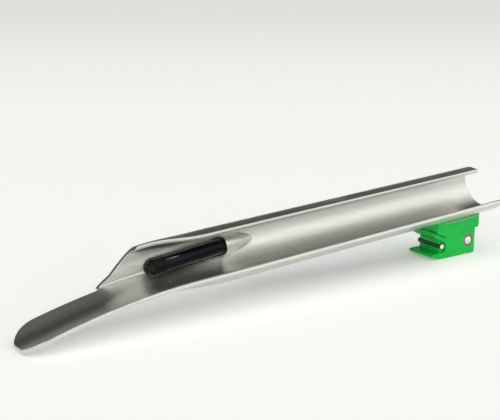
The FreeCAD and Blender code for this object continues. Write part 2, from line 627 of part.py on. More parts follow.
def detent_spring(side):
    """Compression spring between the cup's floor and the ball."""
    floor = HALF_WIDTH - SLEEVE_LENGTH + SLEEVE_FLOOR
    ball_back = HALF_WIDTH - BALL_DEPTH - BALL_RADIUS
    coil_radius = BALL_RADIUS * SPRING_SHARE
    seat = BALL_RADIUS - math.sqrt(BALL_RADIUS ** 2 - coil_radius ** 2)
    height = ball_back + seat - floor - 2 * SPRING_WIRE - 2 * SPRING_GAP
    helix = Part.makeHelix(height / SPRING_TURNS, height, coil_radius)
    ring = Part.Wire(Part.makeCircle(SPRING_WIRE, Vector(coil_radius, 0, 0), Vector(0, 1, 0)))
    coil = Part.Wire(helix).makePipeShell([ring], True, True)
    coil.rotate(Vector(0, 0, 0), Vector(1, 0, 0), -90 * side)
    coil.translate(Vector(BALL_X, side * (floor + SPRING_WIRE + SPRING_GAP), BALL_Z))
    return coil


# ---------------------------------------------------------------- light guide
def guide_solids():
    """The guide from the heel's underside to its far end: bundle, sheath, ferrules and seal."""
    core = tube(CORE_RADIUS)
    sleeve = tube(GUIDE_RADIUS).cut(core)
    foot_end = BOTTOM + INLET_LENGTH
    foot = upright(2 * GUIDE_RADIUS, INLET_X, 0, BOTTOM - OVERRUN, foot_end)
    far_end = slab(GUIDE_END - OUTLET_LENGTH, GUIDE_END + OVERRUN)
    inlet = upright(INLET_RADIUS, INLET_X, 0, BOTTOM, foot_end)
    inlet = inlet.cut(upright(CORE_RADIUS, INLET_X, 0, BOTTOM, foot_end))
    seal = Part.makeTorus(GUIDE_RADIUS + SEAL_SECTION, SEAL_SECTION,
                          Vector(INLET_X, 0, foot_end + SEAL_SECTION))
    return {"light_guide_core": core, "light_guide_sheath": sleeve.cut(foot).cut(far_end),
            "outlet_ferrule": sleeve.common(far_end), "inlet_ferrule": inlet, "inlet_seal": seal}


def guide_clip(share):
    """Spring-steel strap over the guide, with a foot welded to the trough on each side."""
    station = HEEL_STATION + share * (HOOD_START - HEEL_STATION)
    start, end = station - CLIP_WIDTH / 2, station + CLIP_WIDTH / 2
    around = tube(GUIDE_RADIUS + CLIP_SHEET).common(slab(start, end)).Solids[0]
    middle = around.CenterOfMass - place(station, TROUGH_CENTRE_Y, CENTRE_N)
    angle = math.degrees(math.atan2(middle.z, middle.y))
    feet = arc_plate(OUTER_RADIUS, CLIP_SHEET, start, end, angle - CLIP_REACH, angle + CLIP_REACH)
    clip = around.fuse(feet).cut(tube(GUIDE_RADIUS)).cut(trough_rod(OUTER_RADIUS))
    return max(clip.Solids, key=lambda solid: solid.Volume)


# ---------------------------------------------------------------- build
def all_parts():
    parts = {"blade_shell": blade_shell(), "heel_block": heel_block(), "heel_shoulder": heel_shoulder(),
             "heel_bracket": heel_bracket(), "heel_screws": heel_screws(), "hook_wear_pin": wear_pin()}
    for name, side in (("left", -1), ("right", 1)):
        parts["detent_sleeve_" + name] = detent_sleeve(side)
        parts["detent_ball_" + name] = detent_ball(side)
        parts["detent_spring_" + name] = detent_spring(side)
    parts.update(guide_solids())
    for name, share in CLIP_SHARES.items():
        parts[name] = guide_clip(share)
    return parts


for node, shape in all_parts().items():
    state = "valid" if shape.isValid() else "NOT VALID"
    print(node, state, "solids", len(shape.Solids), "mm3", round(shape.Volume, 2))
    shape.exportStep("parts/" + node + ".step")
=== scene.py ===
"""Straight laryngoscope blade on a pale table: pressed satin steel trough with its beak, black-sheathed
light guide, and green hook-on heel with sprung detent balls. Everything is in metres, in the frame of
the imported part: +Z up, beak towards -X, trough open towards -Y."""
import json
import math

import bpy
from mathutils import Matrix, Vector

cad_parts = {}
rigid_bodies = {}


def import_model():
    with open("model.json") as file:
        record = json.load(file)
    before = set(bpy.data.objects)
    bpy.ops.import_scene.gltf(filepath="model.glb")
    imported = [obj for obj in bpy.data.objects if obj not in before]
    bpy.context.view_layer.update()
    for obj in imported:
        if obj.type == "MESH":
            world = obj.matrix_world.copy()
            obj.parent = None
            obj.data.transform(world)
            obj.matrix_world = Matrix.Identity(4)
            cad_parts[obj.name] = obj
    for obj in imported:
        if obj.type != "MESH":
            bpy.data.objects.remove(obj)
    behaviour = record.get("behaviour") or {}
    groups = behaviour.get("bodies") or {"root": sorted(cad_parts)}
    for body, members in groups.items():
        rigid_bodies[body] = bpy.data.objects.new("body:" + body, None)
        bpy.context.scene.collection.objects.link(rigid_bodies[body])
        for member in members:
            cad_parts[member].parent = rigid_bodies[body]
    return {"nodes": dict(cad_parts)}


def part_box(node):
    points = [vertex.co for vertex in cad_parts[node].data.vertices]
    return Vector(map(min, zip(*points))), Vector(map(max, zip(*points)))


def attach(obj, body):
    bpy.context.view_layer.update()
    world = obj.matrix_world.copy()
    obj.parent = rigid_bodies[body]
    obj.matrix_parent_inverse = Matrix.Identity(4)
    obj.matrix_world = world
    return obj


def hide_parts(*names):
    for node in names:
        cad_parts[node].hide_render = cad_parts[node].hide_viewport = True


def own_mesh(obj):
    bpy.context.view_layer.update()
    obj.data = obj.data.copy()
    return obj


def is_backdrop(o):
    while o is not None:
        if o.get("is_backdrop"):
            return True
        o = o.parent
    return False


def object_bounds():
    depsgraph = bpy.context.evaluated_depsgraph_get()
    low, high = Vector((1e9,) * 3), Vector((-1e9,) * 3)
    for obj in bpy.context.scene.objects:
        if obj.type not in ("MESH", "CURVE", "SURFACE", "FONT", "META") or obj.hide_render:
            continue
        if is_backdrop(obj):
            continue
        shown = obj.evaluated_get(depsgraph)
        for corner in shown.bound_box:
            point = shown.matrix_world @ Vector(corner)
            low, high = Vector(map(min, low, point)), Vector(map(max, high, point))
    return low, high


for left_over in list(bpy.data.objects):
    bpy.data.objects.remove(left_over)
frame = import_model()
nodes = frame["nodes"]
cad_low, cad_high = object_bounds()

# ------------------------------------------------------------------------------- blade shell
# The blade is one pressing of stainless sheet: a round trough with a flange rolled over its top,
# cut away obliquely towards a flat beak. It is brushed along its length, then tumbled, so that its
# faces have a soft lengthwise grain and its cut edges are rounded and bright.
TROUGH_SLOPE = math.radians(3.5)
MARK_LENGTH = 0.022
MARK_WIDTH = 0.00022
CUT_EDGE = 0.00035
STEEL_DARK = (0.63, 0.625, 0.59, 1)
STEEL_LIGHT = (0.70, 0.695, 0.665, 1)
STEEL_EDGE = (0.86, 0.855, 0.83, 1)


def add_node(tree, kind, **settings):
    """A new shader node with its settings and, by socket name, its input values."""
    node = tree.nodes.new(kind)
    for name, value in settings.items():
        if hasattr(node, name):
            setattr(node, name, value)
        else:
            node.inputs[name.replace("_", " ")].default_value = value
    return node


def new_group(name, inputs, outputs):
    """An empty shader node group whose sockets are floats, colours or vectors."""
    group = bpy.data.node_groups.new(name, "ShaderNodeTree")
    for label, kind, value in inputs:
        socket = group.interface.new_socket(label, in_out="INPUT", socket_type="NodeSocket" + kind)
        socket.default_value = value
    for label, kind in outputs:
        group.interface.new_socket(label, in_out="OUTPUT", socket_type="NodeSocket" + kind)
    return group, group.nodes.new("NodeGroupInput"), group.nodes.new("NodeGroupOutput")


def brushed_grain():
    """Brush marks that run along the blade, with a few long scratches among them."""
    group, given, made = new_group(
        "brushed_grain",
        [("Mark length", "Float", MARK_LENGTH), ("Mark width", "Float", MARK_WIDTH), ("Slope", "Float", 0.0)],
        [("Shade", "Float"), ("Height", "Float")])
    link = group.links.new
    place = add_node(group, "ShaderNodeTexCoord")
    turn = add_node(group, "ShaderNodeCombineXYZ")
    size = add_node(group, "ShaderNodeCombineXYZ")
    link(given.outputs["Slope"], turn.inputs["Y"])
    link(given.outputs["Mark length"], size.inputs["X"])
    link(given.outputs["Mark width"], size.inputs["Y"])
    link(given.outputs["Mark width"], size.inputs["Z"])
    laid = add_node(group, "ShaderNodeMapping", vector_type="TEXTURE")
    link(place.outputs["Object"], laid.inputs["Vector"])
    link(turn.outputs["Vector"], laid.inputs["Rotation"])
    link(size.outputs["Vector"], laid.inputs["Scale"])
    fine = add_node(group, "ShaderNodeTexNoise", Scale=1.0, Detail=3.0, Roughness=0.55)
    broad = add_node(group, "ShaderNodeTexNoise", Scale=0.16, Detail=2.0, Roughness=0.5)
    link(laid.outputs["Vector"], fine.inputs["Vector"])
    link(laid.outputs["Vector"], broad.inputs["Vector"])
    both = add_node(group, "ShaderNodeMix", data_type="FLOAT")
    both.inputs["Factor"].default_value = 0.45
    link(fine.outputs["Fac"], both.inputs["A"])
    link(broad.outputs["Fac"], both.inputs["B"])
    scratch = add_node(group, "ShaderNodeMapRange", From_Min=0.70, From_Max=0.78, To_Min=0.0, To_Max=0.35)
    link(fine.outputs["Fac"], scratch.inputs["Value"])
    height = add_node(group, "ShaderNodeMath", operation="SUBTRACT")
    link(both.outputs["Result"], height.inputs[0])
    link(scratch.outputs["Result"], height.inputs[1])
    link(both.outputs["Result"], made.inputs["Shade"])
    link(height.outputs["Value"], made.inputs["Height"])
    return group


def worn_edges():
    """Finds the edges of a piece: a mask that is 1 on them, and a normal that rounds them over."""
    group, given, made = new_group(
        "worn_edges", [("Radius", "Float", CUT_EDGE), ("Breakup", "Float", 0.3)],
        [("Edge", "Float"), ("Normal", "Vector")])
    link = group.links.new
    rounded = add_node(group, "ShaderNodeBevel", samples=6)
    link(given.outputs["Radius"], rounded.inputs["Radius"])
    surface = add_node(group, "ShaderNodeNewGeometry")
    same = add_node(group, "ShaderNodeVectorMath", operation="DOT_PRODUCT")
    link(rounded.outputs["Normal"], same.inputs[0])
    link(surface.outputs["Normal"], same.inputs[1])
    mask = add_node(group, "ShaderNodeMapRange", From_Min=0.995, From_Max=0.88, To_Min=0.0, To_Max=1.0)
    link(same.outputs["Value"], mask.inputs["Value"])
    place = add_node(group, "ShaderNodeTexCoord")
    patches = add_node(group, "ShaderNodeTexNoise", Scale=900.0, Detail=3.0)
    link(place.outputs["Object"], patches.inputs["Vector"])
    worn = add_node(group, "ShaderNodeMath", operation="MULTIPLY")
    link(patches.outputs["Fac"], worn.inputs[0])
    link(given.outputs["Breakup"], worn.inputs[1])
    left = add_node(group, "ShaderNodeMath", operation="SUBTRACT", use_clamp=True)
    link(mask.outputs["Result"], left.inputs[0])
    link(worn.outputs["Value"], left.inputs[1])
    link(left.outputs["Value"], made.inputs["Edge"])
    link(rounded.outputs["Normal"], made.inputs["Normal"])
    return group


GRAIN = brushed_grain()
EDGES = worn_edges()


def add_group(tree, group, **values):
    """Places a node group in a material with its own values."""
    node = tree.nodes.new("ShaderNodeGroup")
    node.node_tree = group
    for name, value in values.items():
        node.inputs[name.replace("_", " ")].default_value = value
    return node


def new_material(name):
    """A material with its tree, its Principled shader and a link function."""
    material = bpy.data.materials.new(name)
    material.use_nodes = True
    tree = material.node_tree
    return material, tree, tree.nodes["Principled BSDF"], tree.links.new


def two_tone(tree, factor, low, high):
    """Mixes two colours by a value that is already linked."""
    mix = add_node(tree, "ShaderNodeMix", data_type="RGBA")
    tree.links.new(factor, mix.inputs["Factor"])
    for socket, colour in (("A", low), ("B", high)):
        target = [s for s in mix.inputs if s.name == socket and s.type == "RGBA"][0]
        if isinstance(colour, tuple):
            target.default_value = colour
        else:
            tree.links.new(colour, target)
    return [s for s in mix.outputs if s.type == "RGBA"][0]


def satin_steel(name, slope, smooth, rough, bump):
    """Brushed stainless sheet: soft lengthwise grain, brighter and smoother on its worn edges."""
    material, tree, shader, link = new_material(name)
    grain = add_group(tree, GRAIN, Slope=slope)
    edges = add_group(tree, EDGES, Radius=CUT_EDGE)
    spread = add_node(tree, "ShaderNodeMapRange", From_Min=0.35, From_Max=0.65)
    link(grain.outputs["Shade"], spread.inputs["Value"])
    sheet = two_tone(tree, spread.outputs["Result"], STEEL_DARK, STEEL_LIGHT)
    link(two_tone(tree, edges.outputs["Edge"], sheet, STEEL_EDGE), shader.inputs["Base Color"])
    dull = add_node(tree, "ShaderNodeMapRange", From_Min=0.35, From_Max=0.65, To_Min=rough, To_Max=smooth)
    link(grain.outputs["Shade"], dull.inputs["Value"])
    link(dull.outputs["Result"], shader.inputs["Roughness"])
    relief = add_node(tree, "ShaderNodeBump", Strength=bump, Distance=0.00002)
    link(grain.outputs["Height"], relief.inputs["Height"])
    link(edges.outputs["Normal"], relief.inputs["Normal"])
    link(relief.outputs["Normal"], shader.inputs["Normal"])
    shader.inputs["Metallic"].default_value = 1.0
    return material


def give(material, *names):
    """Puts a material on CAD nodes, in every slot that they have."""
    for name in names:
        slots = nodes[name].data.materials
        slots.clear()
        slots.append(material)


give(satin_steel("satin_blade", TROUGH_SLOPE, 0.33, 0.37, 0.08), "blade_shell")

# ------------------------------------------------------------------------------- light guide
# A bundle of glass fibres in an extruded black sheath. It enters through the heel, runs behind the
# web and comes out under the hood. Its far end is potted in a matt black ferrule and polished flat,
# so that the separate fibres show on the face.


def black_sheath():
    """Extruded black sheath: deep gloss, with faint draw lines along it."""
    material, tree, shader, link = new_material("black_sheath")
    drawn = add_group(tree, GRAIN, Slope=TROUGH_SLOPE, Mark_length=0.03, Mark_width=0.0005)
    link(two_tone(tree, drawn.outputs["Shade"], (0.002, 0.002, 0.003, 1), (0.006, 0.006, 0.010, 1)),
         shader.inputs["Base Color"])
    polish = add_node(tree, "ShaderNodeMapRange", From_Min=0.3, From_Max=0.7, To_Min=0.06, To_Max=0.12)
    link(drawn.outputs["Shade"], polish.inputs["Value"])
    link(polish.outputs["Result"], shader.inputs["Roughness"])
    lines = add_node(tree, "ShaderNodeBump", Strength=0.15, Distance=0.00002)
    link(drawn.outputs["Height"], lines.inputs["Height"])
    link(lines.outputs["Normal"], shader.inputs["Normal"])
    shader.inputs["Specular IOR Level"].default_value = 0.10
    return material


def black_ferrule():
    """Matt black coating over the ferrule, a little polished where it has been handled."""
    material, tree, shader, link = new_material("black_ferrule")
    place = add_node(tree, "ShaderNodeTexCoord")
    speckle = add_node(tree, "ShaderNodeTexNoise", Scale=6000.0, Detail=4.0)
    link(place.outputs["Object"], speckle.inputs["Vector"])
    edges = add_group(tree, EDGES, Radius=0.0002)
    coat = two_tone(tree, speckle.outputs["Fac"], (0.003, 0.003, 0.003, 1), (0.009, 0.009, 0.010, 1))
    link(two_tone(tree, edges.outputs["Edge"], coat, (0.03, 0.03, 0.03, 1)), shader.inputs["Base Color"])
    dull = add_node(tree, "ShaderNodeMapRange", To_Min=0.42, To_Max=0.62)
    link(speckle.outputs["Fac"], dull.inputs["Value"])
    link(dull.outputs["Result"], shader.inputs["Roughness"])
    relief = add_node(tree, "ShaderNodeBump", Strength=0.3, Distance=0.00001)
    link(speckle.outputs["Fac"], relief.inputs["Height"])
    link(edges.outputs["Normal"], relief.inputs["Normal"])
    link(relief.outputs["Normal"], shader.inputs["Normal"])
    shader.inputs["Specular IOR Level"].default_value = 0.12
    return material


def potting():
    """Dark resin between the fibres."""
    material, tree, shader, link = new_material("fibre_potting")
    place = add_node(tree, "ShaderNodeTexCoord")
    cloud = add_node(tree, "ShaderNodeTexNoise", Scale=2500.0, Detail=3.0)
    link(place.outputs["Object"], cloud.inputs["Vector"])
    link(two_tone(tree, cloud.outputs["Fac"], (0.006, 0.006, 0.006, 1), (0.02, 0.02, 0.018, 1)),
         shader.inputs["Base Color"])
    shader.inputs["Roughness"].default_value = 0.4
    shader.inputs["Specular IOR Level"].default_value = 0.1
    return material


give(black_sheath(), "light_guide_sheath")
give(black_ferrule(), "outlet_ferrule")
give(potting(), "light_guide_core")

FIBRE_RADIUS = 0.000085
FIBRE_PITCH = 0.00019
FIBRE_STANDS_OUT = 0.000012
FIBRE_DEPTH = 0.00008
GRID_SHARE = 2.4             # side of the grid that the disc is cut from, over the disc's radius
FACE_REACH = 0.0012          # how far in from its outermost point an end face may lean
FACE_ALIGNED = 0.9           # cosine within which a triangle belongs to an end face


def polished_face(facing):
    """Centre, direction and radius of the flat end of the bundle that faces a given way."""
    mesh = nodes["light_guide_core"].data
    ends = [face for face in mesh.polygons if face.normal.dot(facing) > FACE_ALIGNED]
    outermost = max(face.center.dot(facing) for face in ends)
    ends = [face for face in ends if face.center.dot(facing) > outermost - FACE_REACH]
    area = sum(face.area for face in ends)
    centre = sum((face.center * face.area for face in ends), Vector()) / area
    normal = sum((face.normal * face.area for face in ends), Vector()).normalized()
    return centre, normal, math.sqrt(area / math.pi)


def fibre_glass():
    """Cut glass fibre ends: pale grey, each a slightly different shade."""
    material, tree, shader, link = new_material("fibre_ends")
    place = add_node(tree, "ShaderNodeTexCoord")
    cells = add_node(tree, "ShaderNodeTexVoronoi", Scale=1.0 / FIBRE_PITCH)
    link(place.outputs["Object"], cells.inputs["Vector"])
    shade = add_node(tree, "ShaderNodeSeparateColor")
    link(cells.outputs["Color"], shade.inputs["Color"])
    link(two_tone(tree, shade.outputs["Red"], (0.010, 0.010, 0.009, 1), (0.05, 0.05, 0.045, 1)),
         shader.inputs["Base Color"])
    shader.inputs["Roughness"].default_value = 0.35
    shader.inputs["Specular IOR Level"].default_value = 0.15
    return material


def new_shape_tree(name, sizes):
    """A Geometry Nodes tree with named float sizes and a material; returns it with its input sockets."""
    tree = bpy.data.node_groups.new(name, "GeometryNodeTree")
    sockets = {}
    for label, kind in [(size, "Float") for size in sizes] + [("Material", "Material")]:
        socket = tree.interface.new_socket(label, in_out="INPUT", socket_type="NodeSocket" + kind)
        sockets[label] = socket.identifier
    tree.interface.new_socket("Geometry", in_out="OUTPUT", socket_type="NodeSocketGeometry")
    return tree, sockets, tree.nodes.new("NodeGroupInput"), tree.nodes.new("NodeGroupOutput")


def finish_shape(tree, shape, given, made):
    """Ends a tree: instances made real, then the material set."""
    link = tree.links.new
    real = tree.nodes.new("GeometryNodeRealizeInstances")
    link(shape, real.inputs["Geometry"])
    finish = tree.nodes.new("GeometryNodeSetMaterial")
    link(real.outputs["Geometry"], finish.inputs["Geometry"])
    link(given.outputs["Material"], finish.inputs["Material"])
    link(finish.outputs["Geometry"], made.inputs["Geometry"])


def packed_fibres():
    """Geometry Nodes tree: short round fibre ends packed in sixes over a disc."""
    tree, sockets, given, made = new_shape_tree(
        "packed_fibres", ("Disc radius", "Pitch", "Fibre radius", "Fibre depth"))
    link = tree.links.new
    side = add_node(tree, "ShaderNodeMath", operation="MULTIPLY")
    side.inputs[1].default_value = GRID_SHARE
    link(given.outputs["Disc radius"], side.inputs[0])
    rows = add_node(tree, "ShaderNodeMath", operation="DIVIDE")
    link(side.outputs["Value"], rows.inputs[0])
    link(given.outputs["Pitch"], rows.inputs[1])
    row_gap = add_node(tree, "ShaderNodeMath", operation="MULTIPLY")
    row_gap.inputs[1].default_value = math.sqrt(3) / 2
    link(side.outputs["Value"], row_gap.inputs[0])
    grid = tree.nodes.new("GeometryNodeMeshGrid")
    link(side.outputs["Value"], grid.inputs["Size X"])
    link(row_gap.outputs["Value"], grid.inputs["Size Y"])
    link(rows.outputs["Value"], grid.inputs["Vertices X"])
    link(rows.outputs["Value"], grid.inputs["Vertices Y"])
    number = tree.nodes.new("GeometryNodeInputIndex")
    odd = add_node(tree, "ShaderNodeMath", operation="MODULO")
    odd.inputs[1].default_value = 2.0
    link(number.outputs["Index"], odd.inputs[0])
    shift = add_node(tree, "ShaderNodeMath", operation="MULTIPLY")
    half = add_node(tree, "ShaderNodeMath", operation="MULTIPLY")
    half.inputs[1].default_value = 0.5
    link(given.outputs["Pitch"], half.inputs[0])
    link(odd.outputs["Value"], shift.inputs[0])
    link(half.outputs["Value"], shift.inputs[1])
    step = tree.nodes.new("ShaderNodeCombineXYZ")
    link(shift.outputs["Value"], step.inputs["Y"])
    moved = tree.nodes.new("GeometryNodeSetPosition")
    link(grid.outputs["Mesh"], moved.inputs["Geometry"])
    link(step.outputs["Vector"], moved.inputs["Offset"])
    where = tree.nodes.new("GeometryNodeInputPosition")
    away = add_node(tree, "ShaderNodeVectorMath", operation="LENGTH")
    link(where.outputs["Position"], away.inputs[0])
    outside = add_node(tree, "ShaderNodeMath", operation="GREATER_THAN")
    link(away.outputs["Value"], outside.inputs[0])
    link(given.outputs["Disc radius"], outside.inputs[1])
    kept = tree.nodes.new("GeometryNodeDeleteGeometry")
    link(moved.outputs["Geometry"], kept.inputs["Geometry"])
    link(outside.outputs["Value"], kept.inputs["Selection"])
    fibre = tree.nodes.new("GeometryNodeMeshCylinder")
    fibre.inputs["Vertices"].default_value = 10
    link(given.outputs["Fibre radius"], fibre.inputs["Radius"])
    link(given.outputs["Fibre depth"], fibre.inputs["Depth"])
    placed = tree.nodes.new("GeometryNodeInstanceOnPoints")
    link(kept.outputs["Geometry"], placed.inputs["Points"])
    link(fibre.outputs["Mesh"], placed.inputs["Instance"])
    finish_shape(tree, placed.outputs["Instances"], given, made)
    return tree, sockets


def plain_mesh(name, tree, settings):
    """Runs a Geometry Nodes tree with its inputs set, and keeps the result as a plain mesh piece."""
    carrier = bpy.data.objects.new("carrier", bpy.data.meshes.new("carrier"))
    bpy.context.scene.collection.objects.link(carrier)
    modifier = carrier.modifiers.new("grow", "NODES")
    modifier.node_group = tree
    for identifier, value in settings.items():
        modifier[identifier] = value
    grown = carrier.evaluated_get(bpy.context.evaluated_depsgraph_get())
    mesh = bpy.data.meshes.new_from_object(grown)
    carrier.modifiers.remove(modifier)
    bpy.data.objects.remove(carrier)
    mesh.name = name
    piece = bpy.data.objects.new(name, mesh)
    bpy.context.scene.collection.objects.link(piece)
    return piece


FIBRES, FIBRE_SIZES = packed_fibres()
FIBRE_GLASS = fibre_glass()
for label, facing in (("outlet", Vector((-1, 0, 0))), ("inlet", Vector((0, 0, -1)))):
    centre, normal, radius = polished_face(facing)
    piece = plain_mesh("fibre_ends_" + label, FIBRES, {
        FIBRE_SIZES["Disc radius"]: radius - 2 * FIBRE_RADIUS, FIBRE_SIZES["Pitch"]: FIBRE_PITCH,
        FIBRE_SIZES["Fibre radius"]: FIBRE_RADIUS, FIBRE_SIZES["Fibre depth"]: FIBRE_DEPTH,
        FIBRE_SIZES["Material"]: FIBRE_GLASS})
    sunk = centre + normal * (FIBRE_STANDS_OUT - FIBRE_DEPTH / 2)
    piece.data.transform(Matrix.Translation(sunk) @ normal.to_track_quat("Z", "Y").to_matrix().to_4x4())
    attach(piece, "blade")

# ------------------------------------------------------------------------------- heel mouldings
# Two bright green mouldings screwed together under the trough: the lower block with the hook, and
# the wider shoulder that fits the trough's round back. The plastic is solid colour, fine-textured
# by its mould, and polished on the corners that rub in the handle's fork.
GREEN_DEEP = (0.0015, 0.40, 0.045, 1)
GREEN_BRIGHT = (0.003, 0.54, 0.075, 1)
GREEN_RUBBED = (0.012, 0.60, 0.11, 1)


def green_plastic():
    material, tree, shader, link = new_material("green_plastic")
    place = add_node(tree, "ShaderNodeTexCoord")
    flow = add_node(tree, "ShaderNodeTexNoise", Scale=160.0, Detail=2.0)
    skin = add_node(tree, "ShaderNodeTexNoise", Scale=7000.0, Detail=2.0)
    link(place.outputs["Object"], flow.inputs["Vector"])
    link(place.outputs["Object"], skin.inputs["Vector"])
    edges = add_group(tree, EDGES, Radius=0.0003, Breakup=0.6)
    body = two_tone(tree, flow.outputs["Fac"], GREEN_DEEP, GREEN_BRIGHT)
    link(two_tone(tree, edges.outputs["Edge"], body, GREEN_RUBBED), shader.inputs["Base Color"])
    sheen = add_node(tree, "ShaderNodeMapRange", From_Min=0.3, From_Max=0.7, To_Min=0.30, To_Max=0.42)
    link(skin.outputs["Fac"], sheen.inputs["Value"])
    link(sheen.outputs["Result"], shader.inputs["Roughness"])
    relief = add_node(tree, "ShaderNodeBump", Strength=0.12, Distance=0.00002)
    link(skin.outputs["Fac"], relief.inputs["Height"])
    link(edges.outputs["Normal"], relief.inputs["Normal"])
    link(relief.outputs["Normal"], shader.inputs["Normal"])
    shader.inputs["Specular IOR Level"].default_value = 0.25
    shader.inputs["Subsurface Weight"].default_value = 0.15
    shader.inputs["Subsurface Scale"].default_value = 0.001
    return material


give(green_plastic(), "heel_block", "heel_shoulder")

# ------------------------------------------------------------------------------- steel fittings
# Turned and ground parts of the heel: the wear pin across the hook, the staked detent cups, the
# polished balls and the inlet ferrule. The bracket, its screws and the guide's clips are plain steel,
# darkened as painted shade.


def turned_steel(name, dark, light, smooth, rough, marks):
    """Bright steel with fine marks all over it, worn smooth on its edges."""
    material, tree, shader, link = new_material(name)
    place = add_node(tree, "ShaderNodeTexCoord")
    scuff = add_node(tree, "ShaderNodeTexNoise", Scale=marks, Detail=5.0, Roughness=0.6)
    link(place.outputs["Object"], scuff.inputs["Vector"])
    edges = add_group(tree, EDGES, Radius=0.00012)
    metal = two_tone(tree, scuff.outputs["Fac"], dark, light)
    link(two_tone(tree, edges.outputs["Edge"], metal, STEEL_EDGE), shader.inputs["Base Color"])
    polish = add_node(tree, "ShaderNodeMapRange", From_Min=0.3, From_Max=0.7, To_Min=smooth, To_Max=rough)
    link(scuff.outputs["Fac"], polish.inputs["Value"])
    link(polish.outputs["Result"], shader.inputs["Roughness"])
    link(edges.outputs["Normal"], shader.inputs["Normal"])
    shader.inputs["Metallic"].default_value = 1.0
    return material


PIN_BRIGHT_FROM = 0.0058
# Dark green along the pin's length: painted shade and painted reflection of the green slot around it.
PIN_PAINTED_SHADE = (0.10, 0.13, 0.10, 1)


def pin_with_painted_shade():
    """Ground pin, bright steel at its faced ends; along its length a dark green painted shade and painted
    reflection of the green slot.
    """
    material, tree, shader, link = new_material("wear_pin")
    place = add_node(tree, "ShaderNodeTexCoord")
    parts = add_node(tree, "ShaderNodeSeparateXYZ")
    link(place.outputs["Object"], parts.inputs["Vector"])
    across = add_node(tree, "ShaderNodeMath", operation="ABSOLUTE")
    link(parts.outputs["Y"], across.inputs[0])
    end = add_node(tree, "ShaderNodeMapRange", From_Min=PIN_BRIGHT_FROM, From_Max=PIN_BRIGHT_FROM + 0.0003)
    link(across.outputs["Value"], end.inputs["Value"])
    pin_mottle = add_node(tree, "ShaderNodeTexNoise", Scale=1500.0, Detail=4.0)
    link(place.outputs["Object"], pin_mottle.inputs["Vector"])
    # Painted shade and painted green reflection along the pin's length; the ends keep bright steel.
    painted_shade = two_tone(tree, pin_mottle.outputs["Fac"], (0.04, 0.06, 0.04, 1), PIN_PAINTED_SHADE)
    link(two_tone(tree, end.outputs["Result"], painted_shade, STEEL_EDGE), shader.inputs["Base Color"])
    polish = add_node(tree, "ShaderNodeMapRange", To_Min=0.2, To_Max=0.34)
    link(pin_mottle.outputs["Fac"], polish.inputs["Value"])
    link(polish.outputs["Result"], shader.inputs["Roughness"])
    shader.inputs["Metallic"].default_value = 1.0
    return material


give(pin_with_painted_shade(), "hook_wear_pin")
give(turned_steel("ferrule_steel", (0.55, 0.54, 0.52, 1), (0.72, 0.71, 0.69, 1), 0.16, 0.28, 2500),
     "inlet_ferrule")
# The cups' dark brown is painted shade and painted reflection of the dark rim round each ball.
give(turned_steel("cup_steel_painted_shade", (0.13, 0.11, 0.08, 1), (0.24, 0.21, 0.17, 1), 0.25, 0.38, 2500),
     "detent_sleeve_left", "detent_sleeve_right")
give(turned_steel("ball_steel", (0.74, 0.73, 0.72, 1), (0.84, 0.83, 0.82, 1), 0.05, 0.12, 1200),
     "detent_ball_left", "detent_ball_right")
# Their dark grey is painted shade, set so that the bracket between trough and heel reads as shaded.
give(turned_steel("plain_steel", (0.22, 0.22, 0.21, 1), (0.36, 0.36, 0.35, 1), 0.30, 0.44, 1500),
     "heel_bracket", "heel_screws", "guide_clip_front", "guide_clip_rear")

WIRE_RADIUS = 0.00014
SPRING_TURNS = 2.5
SPRING_STEEL = turned_steel("spring_steel", (0.35, 0.34, 0.33, 1), (0.52, 0.51, 0.50, 1), 0.25, 0.4, 4000)


def coiled_wire():
    """Geometry Nodes tree: round wire wound in an open coil along +Z, with its cut ends closed."""
    tree, sockets, given, made = new_shape_tree(
        "coiled_wire", ("Turns", "Coil radius", "Length", "Wire radius"))
    link = tree.links.new
    coil = tree.nodes.new("GeometryNodeCurveSpiral")
    coil.inputs["Resolution"].default_value = 28
    link(given.outputs["Turns"], coil.inputs["Rotations"])
    link(given.outputs["Coil radius"], coil.inputs["Start Radius"])
    link(given.outputs["Coil radius"], coil.inputs["End Radius"])
    link(given.outputs["Length"], coil.inputs["Height"])
    wire = tree.nodes.new("GeometryNodeCurvePrimitiveCircle")
    wire.inputs["Resolution"].default_value = 10
    link(given.outputs["Wire radius"], wire.inputs["Radius"])
    swept = tree.nodes.new("GeometryNodeCurveToMesh")
    swept.inputs["Fill Caps"].default_value = True
    link(coil.outputs["Curve"], swept.inputs["Curve"])
    link(wire.outputs["Curve"], swept.inputs["Profile Curve"])
    finish_shape(tree, swept.outputs["Mesh"], given, made)
    return tree, sockets


# Each spring rests on the bottom of its cup, towards the middle.
COIL, COIL_SIZES = coiled_wire()
for side, joint, outwards in (("left", "detent_left", -1), ("right", "detent_right", 1)):
    low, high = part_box("detent_spring_" + side)
    length = high[1] - low[1]
    coil_radius = (high[2] - low[2]) / 2 - WIRE_RADIUS
    inner = high[1] if outwards < 0 else low[1]
    foot = Vector(((low[0] + high[0]) / 2, inner, (low[2] + high[2]) / 2))
    spring = plain_mesh("coil_spring_" + side, COIL, {
        COIL_SIZES["Turns"]: SPRING_TURNS, COIL_SIZES["Coil radius"]: coil_radius,
        COIL_SIZES["Length"]: length - 2 * WIRE_RADIUS, COIL_SIZES["Wire radius"]: WIRE_RADIUS,
        COIL_SIZES["Material"]: SPRING_STEEL})
    lay = Vector((0, outwards, 0)).to_track_quat("Z", "X").to_matrix().to_4x4()
    spring.data.transform(Matrix.Translation(foot + Vector((0, outwards * WIRE_RADIUS, 0))) @ lay)
    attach(spring, "blade")
    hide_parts("detent_spring_" + side)
    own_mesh(spring)


